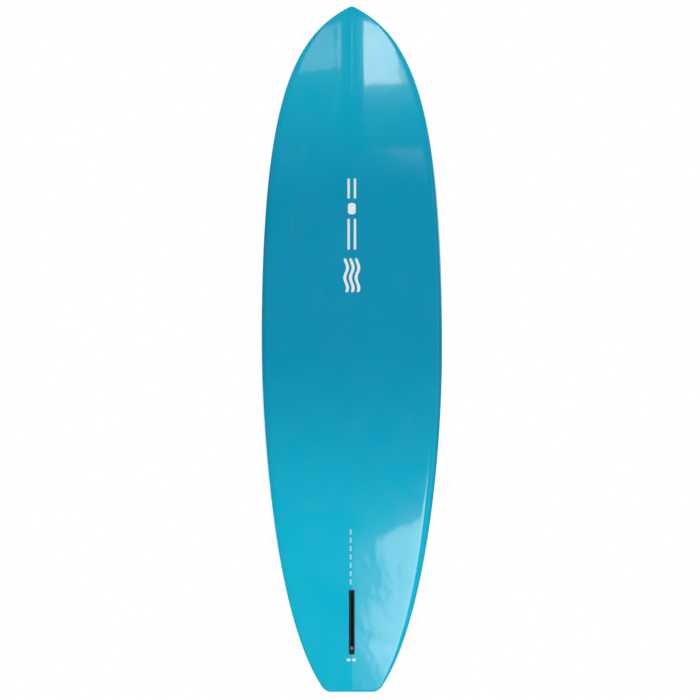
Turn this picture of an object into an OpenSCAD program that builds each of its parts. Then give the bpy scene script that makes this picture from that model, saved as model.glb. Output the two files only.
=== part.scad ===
// Stand up paddleboard with a squash tail, built as a laminated foam sandwich.
// Frame: +X to the nose, +Y to port, +Z to the deck, origin at the bottom centre of its box.

/* [Board] */
// Length from the nose tip to the tail
board_l = 3048; // [2500:2:3700]
// Width at the widest point
board_w = 800; // [660:2:980]
// Thickness at the widest point
board_t = 117; // [97:1:145]
// Width of the squash tail, before its corners are rounded
tail_w = 233; // [190:1:290]
// Width of the nose tip
nose_w = 13; // [11:1:20]
// Thickness of the nose tip
nose_t = 15; // [13:1:22]
// Thickness of the tail edge
tail_t = 32; // [26:1:42]
// Height of the keel at the nose tip
nose_lift = 140; // [80:1:190]
// Height of the keel at the tail
tail_lift = 55; // [30:1:75]
// Depth of the vee in the bottom at the tail
tail_vee = 10; // [3:0.5:14]
// Depth of the vee in the bottom near the nose
nose_vee = 20; // [8:0.5:26]
// Height of the keel ridge near the nose
ridge_h = 9; // [3:0.5:14]
// Half width of the hollows beside the keel ridge
ridge_w = 62; // [40:1:90]

/* [Layers] */
// Thickness of the glass and epoxy skin
skin_t = 1.6; // [1:0.1:2.2]
// Thickness of the rigid foam sheet under the skin
sandwich_t = 3; // [2:0.1:4]
// Thickness of the wooden stringer
stringer_t = 6; // [4:0.5:8]
// Thickness of the foam deck pads
pad_t = 5; // [3:0.5:7]
// Height of the kick pad above the rear deck pad
kick_h = 22; // [12:1:30]

/* [Fin box] */
// Length of the fin box
fin_box_l = 288; // [240:1:345]
// Width of the fin box
fin_box_w = 25.4; // [23:0.1:31]
// Depth of the fin box
fin_box_d = 30; // [28:0.5:34]
// Distance from the tail to the rear end of the fin box
fin_box_gap = 167; // [158:1:260]
// Length of the slot
slot_l = 258; // [150:1:260]
// Width of the slot
slot_w = 9.7; // [9.4:0.1:10.5]
// Depth of the slot
slot_d = 25; // [22:0.5:26]
// Depth of each side channel into the wall of the slot
channel_w = 3; // [2.5:0.1:4]
// Height of the side channels
channel_h = 4.6; // [3.6:0.1:6]
// Thickness of the lip below the side channels
lip_t = 5.5; // [5:0.1:6]

/* [Carry handle] */
// Length of the hand recess
recess_l = 164; // [140:1:200]
// Width of the hand recess
recess_w = 80; // [74:1:100]
// Depth of the hand recess
recess_d = 40; // [36:1:50]
// Wall of the handle cup
cup_wall = 3; // [2:0.5:5]
// Width of the rim round the handle cup
cup_rim = 10; // [6:1:14]
// Width of the grip bar
grip_w = 24; // [18:1:28]
// Height of the grip bar
grip_h = 15; // [12:1:17]
// Length of the ledges that the grip bar rests on
ledge_l = 20; // [16:1:26]

/* [Vent] */
// Radius of the threaded bore in the vent housing
vent_bore_r = 6.55; // [5:0.05:8]
// Radius of the head of the vent plug
vent_head_r = 10; // [9.5:0.1:12]
// Thickness of the head of the vent plug
vent_head_t = 2.8; // [2:0.1:3.5]
// Cross-section radius of the O-ring
seal_r = 0.9; // [0.7:0.05:1]
// Depth of the vent housing
vent_d = 24; // [22:1:30]

/* [Leash plug and inserts] */
// Radius of the hollow of the leash cup
leash_r = 13; // [11:0.5:15]
// Depth of the hollow of the leash cup
leash_d = 22; // [18:1:24]
// Radius of the steel bar across the leash cup
leash_bar_r = 2.5; // [2:0.1:3]
// Distance from the tail to the leash cup
leash_gap = 84; // [76:1:96]
// Distance between the tie-down inserts along the board
tie_x = 220; // [150:1:280]
// Distance between the tie-down inserts across the board
tie_y = 380; // [200:1:420]
// Radius of the thread bore of a tie-down insert
tie_bore_r = 3; // [2.5:0.1:4]
// Depth of the thread bore of a tie-down insert
tie_bore_d = 16; // [12:1:18]

/* [Hidden] */
$fn = 48;

run_fit = 0.05;     // radial clearance of a shaft that turns in its bore
loose_fit = 0.2;    // gap round a piece that slides freely
rest_gap = 0.05;    // gap between the faces of two bodies that rest on each other
cut_gap = 0.3;      // gap between a fitting's rim and the curved layers round it
core_inset = skin_t + sandwich_t;

// ---- Lines of the hull. s runs from 0 at the tail to 1 at the nose. ----
wide_s = 0.5017;    // where the board is widest
straight_l = fin_box_gap + fin_box_l + 30;      // straight run of the keel forward of the tail
straight_s = straight_l / board_l;
tail_corner_r = 22;     // corners of the squash tail, seen from above
tail_edge_r = 8;        // edge of the tail, seen from the side
nose_edge_r = 3;        // edge of the nose tip

// Control points of the outline: [s, share of the half width]
nose_outline = [[1, nose_w / board_w], [0.954, 0.7184], [wide_s + 0.3394, 1], [wide_s, 1]];
tail_outline = [[wide_s, 1], [wide_s - 0.1823, 1], [0.0823, 0.7745], [0, tail_w / board_w]];

// Places of the rings along the two outline curves; the keel is lowest at low_step
low_step = 0.18;
nose_steps = [0, 0.004, 0.015, 0.04, 0.08, 0.13, 0.2, 0.28, 0.37, 0.46, 0.56, 0.65, 0.74, 0.82,
    0.89, 0.937, 0.94];
tail_steps = [1, 0.997, 0.99, 0.98, 0.965, 0.935, 0.9, 0.86, 0.82, 0.78, 0.76, 0.7, 0.63,
    0.545, 0.54, 0.45, 0.36, 0.27, low_step, 0.09, 0];

function bezier(p, t) = pow(1 - t, 3) * p[0] + 3 * t * pow(1 - t, 2) * p[1]
    + 3 * t * t * (1 - t) * p[2] + pow(t, 3) * p[3];
function smooth(u) = u <= 0 ? 0 : u >= 1 ? 1 : u * u * (3 - 2 * u);
// How far a rounded edge of radius r has drawn in at the distance d from the end
function rounded(r, d) = d >= r ? 0 : r - sqrt(r * r - pow(r - d, 2));

// Rings where pieces begin and end
tail_block_ring = 7;
kick_ring = 10;
rear_pad_ring = 13;
front_pad_ring = len(tail_steps) + 1;
pad_end_ring = len(tail_steps) + 3;
nose_block_ring = len(tail_steps) + len(nose_steps) - 7;
pad_span = 5;       // labels from the deck centre to the edge of the pads

stations = concat(
    [for (t = tail_steps) bezier(tail_outline, t)],
    [for (i = [len(nose_steps) - 1 : -1 : 0]) bezier(nose_outline, nose_steps[i])]);
last = len(stations) - 1;

flat_s = bezier(tail_outline, low_step)[0];
// Height of the keel: a parabola up to the straight run at the tail, a steeper curve to the nose
bend_s = flat_s - straight_s;
function keel_z(s) = s > flat_s ? nose_lift * pow((s - flat_s) / (1 - flat_s), 2.5)
    : tail_lift * (s > straight_s ? pow(flat_s - s, 2)
        : bend_s * bend_s + 2 * bend_s * (straight_s - s))
    / (bend_s * bend_s + 2 * bend_s * straight_s);
function thickness(s) = s > wide_s
    ? nose_t + (board_t - nose_t) * pow(1 - pow((s - wide_s) / (1 - wide_s), 2.6), 0.85)
    : tail_t + (board_t - tail_t) * pow(1 - pow((wide_s - s) / wide_s, 2.4), 0.9);
function vee(s) = 1.5 + tail_vee * smooth((0.32 - s) / 0.22)
    + nose_vee * smooth((s - 0.66) / 0.22) * (1 - 0.9 * smooth((s - 0.93) / 0.07));
function ridge(s) = ridge_h * smooth((s - 0.74) / 0.14) * (1 - 0.9 * smooth((s - 0.955) / 0.045));
function deck_z(s) = keel_z(s) + thickness(s);
function rail_height(s) = keel_z(s) + thickness(s) * (0.42 + 0.08 * smooth((s - 0.8) / 0.2));

// ---- One ring of the hull, drawn in by inset. Every layer uses the same labels: ----
// 0 starboard rail, half: keel, 2 * half: port rail, 3 * half: deck centre, ring_n: back again.
half = 9;
ring_n = 4 * half;
keel_label = half;
port_rail = 2 * half;
deck_label = 3 * half;
panel_shares = [0, 0, 0.12, 0.3, 0.62, 1];
rail_steps = [0.3, 0.58, 0.8, 1];
deck_steps = [0.08, 0.18, 0.3, 0.43, 0.56, 0.7, 0.85];

// Control points of the deck, from the rail to the centre: [y, z]
function deck_curve(w, rail_z, top) = [[w, rail_z], [w, rail_z + 0.66 * (top - rail_z)],
    [0.6 * w, top], [0, top]];

// Parameter where the falling first coordinate of a curve reaches v
function find_t(p, v, low = 0, high = 1, n = 20) = let (mid = (low + high) / 2)
    n == 0 ? mid : bezier(p, mid)[0] > v ? find_t(p, v, mid, high, n - 1)
        : find_t(p, v, low, mid, n - 1);
// Height of the deck over the point x, y
function deck_height(x, y) =
    let (s = x / board_l + 0.5,
        line = s > wide_s ? nose_outline : tail_outline,
        w = board_w / 2 * bezier(line, find_t(line, s))[1],
        curve = deck_curve(w, rail_height(s), deck_z(s)))
    bezier(curve, find_t(curve, abs(y)))[1];

// Half a ring from the keel over the port rail to the deck centre: [y, z] pairs
function half_ring(w, low, top, rail_z, rise, hump, hump_w) =
    let (tuck = min(0.36 * (top - low), 0.45 * w),
        y_edge = w - tuck,
        y_mid = min(stringer_t / 2, 0.3 * y_edge),
        lift = min(1, 0.45 * (rail_z - low) / (rise + hump)),
        hw = min(hump_w, 0.8 * y_edge),
        panel = [for (i = [0 : 5])
            let (y = i == 1 ? y_mid : y_mid * min(i, 1) + panel_shares[i] * (y_edge - y_mid),
                v = y >= hw ? 1 : 1 - pow(1 - y / hw, 2))
            [y, low + lift * (rise * y / y_edge + hump * v)]],
        edge = panel[5],
        turn = [edge, edge + [0.6 * tuck, 0.6 * tuck * lift * rise / y_edge],
            [w, rail_z - 0.55 * (rail_z - edge[1])], [w, rail_z]],
        deck = deck_curve(w, rail_z, top))
    concat(panel, [for (t = rail_steps) bezier(turn, t)],
        [for (t = deck_steps) bezier(deck, t)], [[y_mid, top], [0, top]]);

// Ring i of the hull at the given inset: ring_n points
function ring(i, inset) =
    let (s = stations[i][0],
        from_tail = s * board_l,
        from_nose = (1 - s) * board_l,
        edge = rounded(tail_edge_r, from_tail) + rounded(nose_edge_r, from_nose),
        corner = rounded(tail_corner_r, from_tail) + rounded(nose_edge_r, from_nose),
        w = max(stations[i][1] * board_w / 2 - corner - inset, 1),
        rail_z = rail_height(s),
        low = min(keel_z(s) + edge + inset, rail_z - 1.2),
        top = max(deck_z(s) - edge - inset, rail_z + 1.2),
        x = (s - 0.5) * (board_l - 2 * inset),
        pts = half_ring(w, low, top, rail_z, vee(s), ridge(s), ridge_w))
    [for (k = [0 : ring_n - 1])
        let (j = abs(k - half), flip = k < half || k > deck_label,
            p = pts[k > deck_label ? ring_n + half - k : j])
        [x, flip ? -p[0] : p[0], p[1]]];

// ---- Solids between the rings ----
function wrap(k) = k % ring_n;
// Two triangles of the patch between the rings that start at a and b, and the loop places k and m
function patch(a, b, k, m) = [[a + k, b + m, a + m], [a + k, b + k, b + m]];
function turned(faces) = [for (f = faces) [f[0], f[2], f[1]]];
// Strips that close a loop of n points. Where the middle of an odd loop is flat, as on the deck,
// its last five points are cut another way, so that no triangle there has three points in line.
function end_face(n, flat = false) = let (m = floor(n / 2)) concat(
    [for (k = [0 : m - (flat ? 3 : 2)]) each
        [[k, k + 1, n - 2 - k], [k, n - 2 - k, n - 1 - k]]],
    n % 2 == 0 ? [] : flat ? [[m - 2, m - 1, m], [m - 2, m, m + 2], [m, m + 1, m + 2]]
        : [[m - 1, m, m + 1]]);
function shifted(faces, by) = [for (f = faces) [f[0] + by, f[1] + by, f[2] + by]];
// Strips between the upper edge and the lower edge of a sheet, on its first and last columns
function side_strips(n, m, low) = [for (i = [0 : m - 1])
    let (a = n * i, b = n * (i + 1), e = n - 1) each
    [[a, low + b, b], [a, low + a, low + b], [a + e, b + e, low + b + e],
        [a + e, low + b + e, low + a + e]]];

// Closed solid that joins a range of labels, as one loop, over the rings from first to final
module sweep_labels(label_range, inset, first, final) {
    labels = [for (k = label_range) k];
    n = len(labels);
    m = final - first;
    pts = [for (i = [first : final]) let (r = ring(i, inset)) each [for (k = labels) r[wrap(k)]]];
    sides = [for (i = [0 : m - 1]) for (k = [0 : n - 1])
        each patch(n * i, n * (i + 1), k, (k + 1) % n)];
    polyhedron(pts, concat(sides, end_face(n), shifted(turned(end_face(n)), n * m)), convexity = 6);
}

// The whole hull, drawn in by inset, over some of its rings
module hull_solid(inset, first, final) {
    sweep_labels([0 : ring_n - 1], inset, first, final);
}
// The part of the core round a fitting at x, from a ring behind it to a ring ahead of it
module core_near(x, reach) {
    places = [for (p = stations) (p[0] - 0.5) * board_l];
    hull_solid(core_inset, max([for (i = [0 : last]) if (i == 0 || places[i] < x - reach) i]),
        min([for (i = [0 : last]) if (i == last || places[i] > x + reach) i]));
}

// Shell between two insets, over the half of each ring that begins at the label start
module shell(start, outer, inner) {
    n = 2 * half + 1;
    levels = [for (inset = [outer, inner]) each [for (i = [0 : last])
        let (r = ring(i, inset)) each [for (k = [0 : n - 1]) r[wrap(start + k)]]]];
    low = n * (last + 1);
    far = n * last;
    e = n - 1;
    outside = [for (i = [0 : last - 1]) for (k = [0 : n - 2])
        each patch(n * i, n * (i + 1), k, k + 1)];
    cap = end_face(n, start == port_rail);
    walls = concat(outside, cap, shifted(turned(cap), far));
    ends = [[0, e, low + e], [0, low + e, low],
        [far, low + far, low + far + e], [far, low + far + e, far + e]];
    polyhedron(levels, concat(walls, shifted(turned(walls), low), side_strips(n, last, low), ends),
        convexity = 8);
}

// Sheet on the deck over the rings from first on; lows and highs are its faces at each ring
module deck_sheet(first, lows, highs) {
    n = 2 * pad_span + 1;
    m = len(highs) - 1;
    pts = [for (level = [highs, lows]) each [for (i = [0 : m])
        let (r = ring(first + i, 0)) each
        [for (k = [0 : n - 1]) r[deck_label - pad_span + k] + [0, 0, level[i]]]]];
    low = n * (m + 1);
    far = n * m;
    top = [for (i = [0 : m - 1]) for (k = [0 : n - 2]) each patch(n * i, n * (i + 1), k, k + 1)];
    ends = [for (k = [0 : n - 2]) each
        [[k, k + 1, low + k + 1], [k, low + k + 1, low + k],
            [far + k, low + far + k + 1, far + k + 1], [far + k, low + far + k, low + far + k + 1]]];
    polyhedron(pts, concat(top, shifted(turned(top), low), side_strips(n, m, low), ends),
        convexity = 6);
}

// ---- Plain shapes ----
// Plate with round corners, from z = 0 up to h
module plate(l, w, r, h) {
    linear_extrude(h) {
        square([l - 2 * r, w], center = true);
        square([l, w - 2 * r], center = true);
        for (x = [-1, 1], y = [-1, 1]) translate([x * (l / 2 - r), y * (w / 2 - r)]) circle(r);
    }
}
// Plate with half-round ends
module stadium(l, w, h) {
    linear_extrude(h) {
        square([l - w, w], center = true);
        for (x = [-1, 1]) translate([x * (l - w) / 2, 0]) circle(w / 2);
    }
}
// The same two outlines with flat sides and a small gap all round, for cuts in the curved layers
module plate_cut(l, w, r, low, high) {
    translate([0, 0, low]) linear_extrude(high - low) polygon([for (q = [0 : 3]) each
        let (sx = q == 0 || q == 3 ? 1 : -1, sy = q < 2 ? 1 : -1)
        [for (i = [0 : 8]) [sx * (l / 2 - r), sy * (w / 2 - r)]
            + (r + cut_gap) * [cos(90 * q + 11.25 * i), sin(90 * q + 11.25 * i)]]]);
}
module round_cut(r, low, high) {
    translate([0, 0, low]) linear_extrude(high - low)
        polygon([for (i = [0 : 23]) (r + cut_gap) * [cos(15 * i), sin(15 * i)]]);
}
module box_at(l, w, low, high) {
    translate([-l / 2, -w / 2, low]) cube([l, w, high - low]);
}
module rod(r, low, high) {
    translate([0, 0, low]) cylinder(r = r, h = high - low);
}

// ---- Places of the fittings ----
fin_at = fin_box_gap + fin_box_l / 2;
tail_pitch = atan(2 * tail_lift * bend_s / (bend_s * bend_s + 2 * bend_s * straight_s) / board_l);
// Middle of the fin box's mouth on the keel, +Z into the board
module on_keel() {
    translate([fin_at - board_l / 2, 0, keel_z(fin_at / board_l)]) rotate([0, tail_pitch, 0])
        children();
}
flush = 0.4;        // how far a fitting's rim stands above the deck
flange_t = core_inset + flush;
// A point on the deck, +Z up, raised so that a rim there is level with the deck
module on_deck(x, y) {
    translate([x, y, deck_height(x, y) + flush]) children();
}

vent_pos = [board_l / 2 - 960, 80];
leash_x = leash_gap - board_l / 2;
leash_pitch = atan((deck_height(leash_x - 10, 0) - deck_height(leash_x + 10, 0)) / 20);
tie_mid = board_l / 2 - 760;
module at_leash() {
    on_deck(leash_x, 0) rotate([0, leash_pitch, 0]) children();
}
module at_ties() {
    for (x = [-1, 1], y = [-1, 1]) on_deck(tie_mid + x * tie_x / 2, y * tie_y / 2) children();
}

// ---- Spaces cut out of the foam and the skins ----
fin_block_l = fin_box_l + 42;
fin_block_w = fin_box_w + 40;
fin_block_d = fin_box_d + 8;
vent_body_r = vent_head_r + 2.5;
vent_block_r = vent_body_r + 22;
leash_body_r = leash_r + 3;
leash_rim_r = leash_body_r + 4;
leash_block_r = leash_body_r + 12;
cup_l = recess_l + 2 * cup_wall;
cup_w = recess_w + 2 * cup_wall;
cup_d = recess_d + cup_wall;
tie_rim_r = tie_bore_r + 6;
tie_body_r = tie_bore_r + 4;
tie_body_d = tie_bore_d + 5;

module fin_block_space() {
    on_keel() box_at(fin_block_l, fin_block_w, -20, fin_block_d);
}
module vent_block_space() {
    on_deck(vent_pos[0], vent_pos[1]) rod(vent_block_r, -vent_d - 12, 20);
}
module leash_block_space() {
    at_leash() rod(leash_block_r, -leash_d - 9, 20);
}
module handle_block_space() {
    on_deck(0, 0) box_at(cup_l + 60, cup_w + 50, -cup_d - 12, 20);
}
module tie_space() {
    at_ties() {
        rod(tie_body_r, -tie_body_d, 0);
        rod(tie_rim_r, -flange_t, 20);
    }
}
// What is cut from the light foam and the stringer
module foam_spaces() {
    fin_block_space();
    vent_block_space();
    leash_block_space();
    handle_block_space();
    tie_space();
}
// What is cut from the deck's layers
module deck_holes() {
    on_deck(vent_pos[0], vent_pos[1]) round_cut(vent_body_r + 4, -20, 20);
    at_leash() round_cut(leash_rim_r, -20, 20);
    on_deck(0, 0) plate_cut(cup_l + 2 * cup_rim, cup_w + 2 * cup_rim, cup_w / 2 + cup_rim - 1,
        -20, 20);
    at_ties() round_cut(tie_rim_r, -20, 20);
}
module bottom_hole() {
    on_keel() translate([0, 0, -20]) plate(fin_box_l, fin_box_w, 5, 20 + fin_box_d);
}

// ---- Hull ----
module bottom_skin() {
    color("deepskyblue") difference() {
        shell(0, 0, skin_t);
        bottom_hole();
    }
}
module deck_skin() {
    color("white") difference() {
        shell(port_rail, 0, skin_t);
        deck_holes();
    }
}
module bottom_sandwich() {
    color("khaki") difference() {
        shell(0, skin_t, core_inset);
        bottom_hole();
    }
}
module deck_sandwich() {
    color("khaki") difference() {
        shell(port_rail, skin_t, core_inset);
        deck_holes();
    }
}
module core_port() {
    color("whitesmoke") difference() {
        sweep_labels([keel_label + 1 : deck_label - 1], core_inset, tail_block_ring,
            nose_block_ring);
        foam_spaces();
    }
}
module core_starboard() {
    color("whitesmoke") difference() {
        sweep_labels([deck_label + 1 : ring_n + keel_label - 1], core_inset, tail_block_ring,
            nose_block_ring);
        foam_spaces();
    }
}
module stringer() {
    color("burlywood") difference() {
        sweep_labels([keel_label - 1, keel_label, keel_label + 1,
            deck_label - 1, deck_label, deck_label + 1], core_inset, tail_block_ring,
            nose_block_ring);
        foam_spaces();
    }
}
module nose_block() {
    color("lightgray") hull_solid(core_inset, nose_block_ring, last);
}
module tail_block() {
    color("lightgray") difference() {
        hull_solid(core_inset, 0, tail_block_ring);
        fin_block_space();
        leash_block_space();
    }
}

// ---- Fin box, its plate and its screw ----
module fin_box() {
    color("black") on_keel() difference() {
        plate(fin_box_l, fin_box_w, 5, fin_box_d);
        translate([0, 0, -1]) stadium(slot_l, slot_w, slot_d + 1);
        box_at(slot_l - slot_w, slot_w + 2 * channel_w, lip_t, lip_t + channel_h);
    }
}
module fin_box_block() {
    color("lightgray") difference() {
        intersection() {
            core_near(fin_at - board_l / 2, fin_block_l / 2 + 10);
            fin_block_space();
        }
        bottom_hole();
    }
}

screw_r = 2;
screw_l = 16;
screw_head_r = 3.9;
screw_head_t = 2.4;
washer_t = 0.8;
washer_r = 4.5;
fin_plate_l = 14;
fin_plate_t = 3;
fin_plate_z = lip_t + rest_gap;
washer_z = fin_plate_z - rest_gap - washer_t;
head_z = washer_z - rest_gap;
fin_plate_x = -(slot_l - slot_w) / 2 + fin_plate_l / 2 + loose_fit;
// The screw's axis in the fin box
module at_fin_screw() {
    on_keel() translate([fin_plate_x, 0, 0]) children();
}
module fin_plate() {
    color("goldenrod") at_fin_screw() difference() {
        box_at(fin_plate_l, slot_w + 2 * channel_w - 2 * loose_fit, fin_plate_z,
            fin_plate_z + fin_plate_t);
        rod(screw_r + run_fit, 0, fin_box_d);
    }
}
module fin_washer() {
    color("silver") at_fin_screw() difference() {
        rod(washer_r, washer_z, washer_z + washer_t);
        rod(screw_r + run_fit, 0, fin_box_d);
    }
}
module fin_screw() {
    color("silver") at_fin_screw() difference() {
        union() {
            rod(screw_head_r, head_z - screw_head_t, head_z);
            rod(screw_r, head_z - 1, head_z + screw_l);
        }
        for (turn = [0, 90]) rotate([0, 0, turn]) box_at(4.6, 1, -10, head_z - 1.1);
    }
}

// ---- Vent ----
vent_seat = 2 * seal_r + vent_head_t + 0.5;     // depth of the seat that the O-ring lies on
head_low = -vent_seat + 2 * seal_r + 2 * rest_gap;
vent_shank_l = vent_d - 10;
module at_vent() {
    on_deck(vent_pos[0], vent_pos[1]) children();
}
module vent_housing() {
    color("dimgray") at_vent() difference() {
        union() {
            rod(vent_body_r + 4, -flange_t, 0);
            rod(vent_body_r, -vent_d, -1);
        }
        rod(vent_head_r + 0.3, -vent_seat, 1);
        rod(vent_bore_r, -vent_d + 4, 0);
        rod(2.5, -vent_d - 1, 0);
    }
}
module vent_seal() {
    color("black") at_vent() translate([0, 0, head_low - rest_gap - seal_r]) rotate_extrude()
        translate([vent_bore_r + seal_r + 0.5, 0]) circle(seal_r);
}
module vent_plug() {
    color("gray") at_vent() difference() {
        union() {
            rod(vent_head_r, head_low, head_low + vent_head_t);
            rod(vent_bore_r - run_fit, head_low - vent_shank_l, head_low + 1);
        }
        box_at(14, 2.2, head_low + vent_head_t - 1.6, 5);
    }
}
module vent_block() {
    color("lightgray") difference() {
        intersection() {
            core_near(vent_pos[0], vent_block_r + 10);
            vent_block_space();
        }
        at_vent() rod(vent_body_r, -vent_d, 20);
        at_vent() rod(vent_body_r + 4, -flange_t, 20);
        at_vent() rod(2.5, -vent_d - 30, 0);
    }
}

// ---- Leash plug ----
leash_bar_z = -8;
module leash_cup() {
    color("black") at_leash() difference() {
        union() {
            rod(leash_rim_r, -flange_t, 0);
            rod(leash_body_r, -leash_d - 3, -1);
        }
        rod(leash_r, -leash_d, 1);
        translate([0, 0, leash_bar_z]) rotate([90, 0, 0])
            rod(leash_bar_r, -leash_body_r + 0.5, leash_body_r - 0.5);
    }
}
module leash_bar() {
    color("silver") at_leash() translate([0, 0, leash_bar_z]) rotate([90, 0, 0])
        rod(leash_bar_r, -leash_body_r + 0.5, leash_body_r - 0.5);
}
module leash_block() {
    color("lightgray") difference() {
        intersection() {
            core_near(leash_x, leash_block_r + 10);
            leash_block_space();
        }
        at_leash() rod(leash_body_r, -leash_d - 3, 20);
        at_leash() rod(leash_rim_r, -flange_t, 20);
    }
}

// ---- Carry handle ----
grip_low = -grip_h - 1;
ledge_w = grip_w + 8;
handle_screw_x = recess_l / 2 - ledge_l / 2;
module handle_cup() {
    color("black") on_deck(0, 0) difference() {
        union() {
            translate([0, 0, -flange_t])
                plate(cup_l + 2 * cup_rim, cup_w + 2 * cup_rim, cup_w / 2 + cup_rim - 1, flange_t);
            translate([0, 0, -cup_d]) stadium(cup_l, cup_w, cup_d - 1);
        }
        difference() {
            translate([0, 0, -recess_d]) stadium(recess_l, recess_w, recess_d + 5);
            for (x = [-1, 1]) translate([x * (recess_l / 2 - ledge_l / 2 + 2), 0, 0])
                box_at(ledge_l + 4, ledge_w, -recess_d - 1, grip_low);
        }
        for (x = [-1, 1]) translate([x * handle_screw_x, 0, 0]) rod(screw_r, grip_low - 14, 5);
    }
}
module handle_grip() {
    color("dimgray") on_deck(0, 0) difference() {
        translate([0, 0, grip_low]) intersection() {
            translate([-recess_l / 2 + 1, 0, grip_h / 2]) rotate([90, 0, 90])
                plate(grip_w, grip_h, 5, recess_l - 2);
            stadium(recess_l - 1, recess_w - 1, grip_h);
        }
        for (x = [-1, 1]) translate([x * handle_screw_x, 0, 0]) {
            rod(screw_r, grip_low - 1, 5);
            rod(screw_head_r, -1 - screw_head_t - 1, 5);
        }
    }
}
module handle_screws() {
    color("silver") on_deck(0, 0) for (x = [-1, 1]) translate([x * handle_screw_x, 0, 0])
        difference() {
            union() {
                rod(screw_head_r, -2 - screw_head_t, -2);
                rod(screw_r, grip_low - 13, -3);
            }
            for (turn = [0, 90]) rotate([0, 0, turn]) box_at(4.6, 1, -3.2, 0);
        }
}
module handle_block() {
    color("lightgray") difference() {
        intersection() {
            core_near(0, cup_l / 2 + 40);
            handle_block_space();
        }
        on_deck(0, 0) translate([0, 0, -cup_d]) stadium(cup_l, cup_w, cup_d + 20);
        on_deck(0, 0) translate([0, 0, -flange_t])
            plate(cup_l + 2 * cup_rim, cup_w + 2 * cup_rim, cup_w / 2 + cup_rim - 1, 20);
    }
}

// ---- Deck pads ----
module pad_between(first, final) {
    color("slategray")
        deck_sheet(first, [for (i = [first : final]) 0], [for (i = [first : final]) pad_t]);
}
module deck_pad_rear() {
    pad_between(tail_block_ring, rear_pad_ring);
}
module deck_pad_middle() {
    difference() {
        pad_between(rear_pad_ring + 1, front_pad_ring - 1);
        on_deck(0, 0) translate([0, 0, -20])
            plate(cup_l + 2 * cup_rim + 8, cup_w + 2 * cup_rim + 8, cup_w / 2 + cup_rim + 3, 60);
    }
}
module deck_pad_front() {
    pad_between(front_pad_ring, pad_end_ring);
}
module kick_pad() {
    shares = [0.8, 1, 0.4, 0.05];
    color("darkslategray") deck_sheet(tail_block_ring, [for (s = shares) pad_t],
        [for (s = shares) pad_t + kick_h * s]);
}

// ---- Tie-down inserts ----
module tie_inserts() {
    color("goldenrod") at_ties() difference() {
        union() {
            rod(tie_rim_r, -flange_t, 0);
            rod(tie_body_r, -tie_body_d, -1);
        }
        rod(tie_bore_r, -tie_bore_d, 1);
    }
}

bottom_skin();
deck_skin();
bottom_sandwich();
deck_sandwich();
core_port();
core_starboard();
stringer();
nose_block();
tail_block();
fin_box();
fin_box_block();
fin_plate();
fin_washer();
fin_screw();
vent_block();
vent_housing();
vent_seal();
vent_plug();
leash_block();
leash_cup();
leash_bar();
handle_block();
handle_cup();
handle_grip();
handle_screws();
deck_pad_front();
deck_pad_middle();
deck_pad_rear();
kick_pad();
tie_inserts();
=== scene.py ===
"""Looks of a stand up paddleboard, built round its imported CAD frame."""

import logging
import math
from dataclasses import dataclass
from enum import Enum
from functools import lru_cache
from typing import Callable, Iterable, Optional

import bmesh
import bpy
from mathutils import Matrix, Vector


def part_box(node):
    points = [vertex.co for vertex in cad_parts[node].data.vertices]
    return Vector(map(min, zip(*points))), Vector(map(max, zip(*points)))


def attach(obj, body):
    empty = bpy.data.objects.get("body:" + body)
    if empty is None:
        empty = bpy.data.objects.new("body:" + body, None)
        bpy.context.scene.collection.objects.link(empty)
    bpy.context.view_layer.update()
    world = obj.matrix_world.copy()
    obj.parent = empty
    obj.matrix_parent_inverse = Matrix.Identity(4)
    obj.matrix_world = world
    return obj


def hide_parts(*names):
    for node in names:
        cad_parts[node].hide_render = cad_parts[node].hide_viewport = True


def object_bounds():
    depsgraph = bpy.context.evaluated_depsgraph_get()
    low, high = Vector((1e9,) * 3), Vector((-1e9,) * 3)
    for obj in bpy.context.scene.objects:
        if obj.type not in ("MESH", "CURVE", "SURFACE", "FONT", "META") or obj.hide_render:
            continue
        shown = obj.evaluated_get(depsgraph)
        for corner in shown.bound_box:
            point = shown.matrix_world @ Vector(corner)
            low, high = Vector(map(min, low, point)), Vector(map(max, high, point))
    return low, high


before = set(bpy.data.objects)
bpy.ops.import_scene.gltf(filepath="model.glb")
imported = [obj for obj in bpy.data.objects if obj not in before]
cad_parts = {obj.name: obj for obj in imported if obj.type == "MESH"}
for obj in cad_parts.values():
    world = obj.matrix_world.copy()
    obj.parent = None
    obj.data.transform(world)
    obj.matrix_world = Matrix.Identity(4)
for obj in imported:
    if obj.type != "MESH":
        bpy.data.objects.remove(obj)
CAD_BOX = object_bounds()

LOG = logging.getLogger("paddleboard")
MM = 0.001
SAME_POINT = 0.002 * MM
CLEARANCE = 0.1 * MM
FLAT_ANGLE = 0.6
CORNER_ANGLE = 35.0
BOARD = "board"
Colour = tuple[float, float, float]
Outline = list[tuple[float, float]]


class Side(Enum):
    """The two faces of the hull."""

    BOTTOM = "bottom"
    DECK = "deck"


# ---------------------------------------------------------------- small helpers


def rounded(radius: float, distance: float) -> float:
    """How far a rounded edge has drawn in at a distance from the end.

    Args:
        radius: radius of the rounding.
        distance: distance from the end, inwards.

    Returns:
        The draw-in, 0 once the rounding has ended.
    """
    if distance >= radius:
        return 0.0
    return radius - math.sqrt(max(radius**2 - (radius - max(distance, 0.0)) ** 2, 0.0))


def smooth(u: float) -> float:
    """Smooth step from 0 to 1 as u goes from 0 to 1."""
    u = min(max(u, 0.0), 1.0)
    return u * u * (3 - 2 * u)


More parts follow.
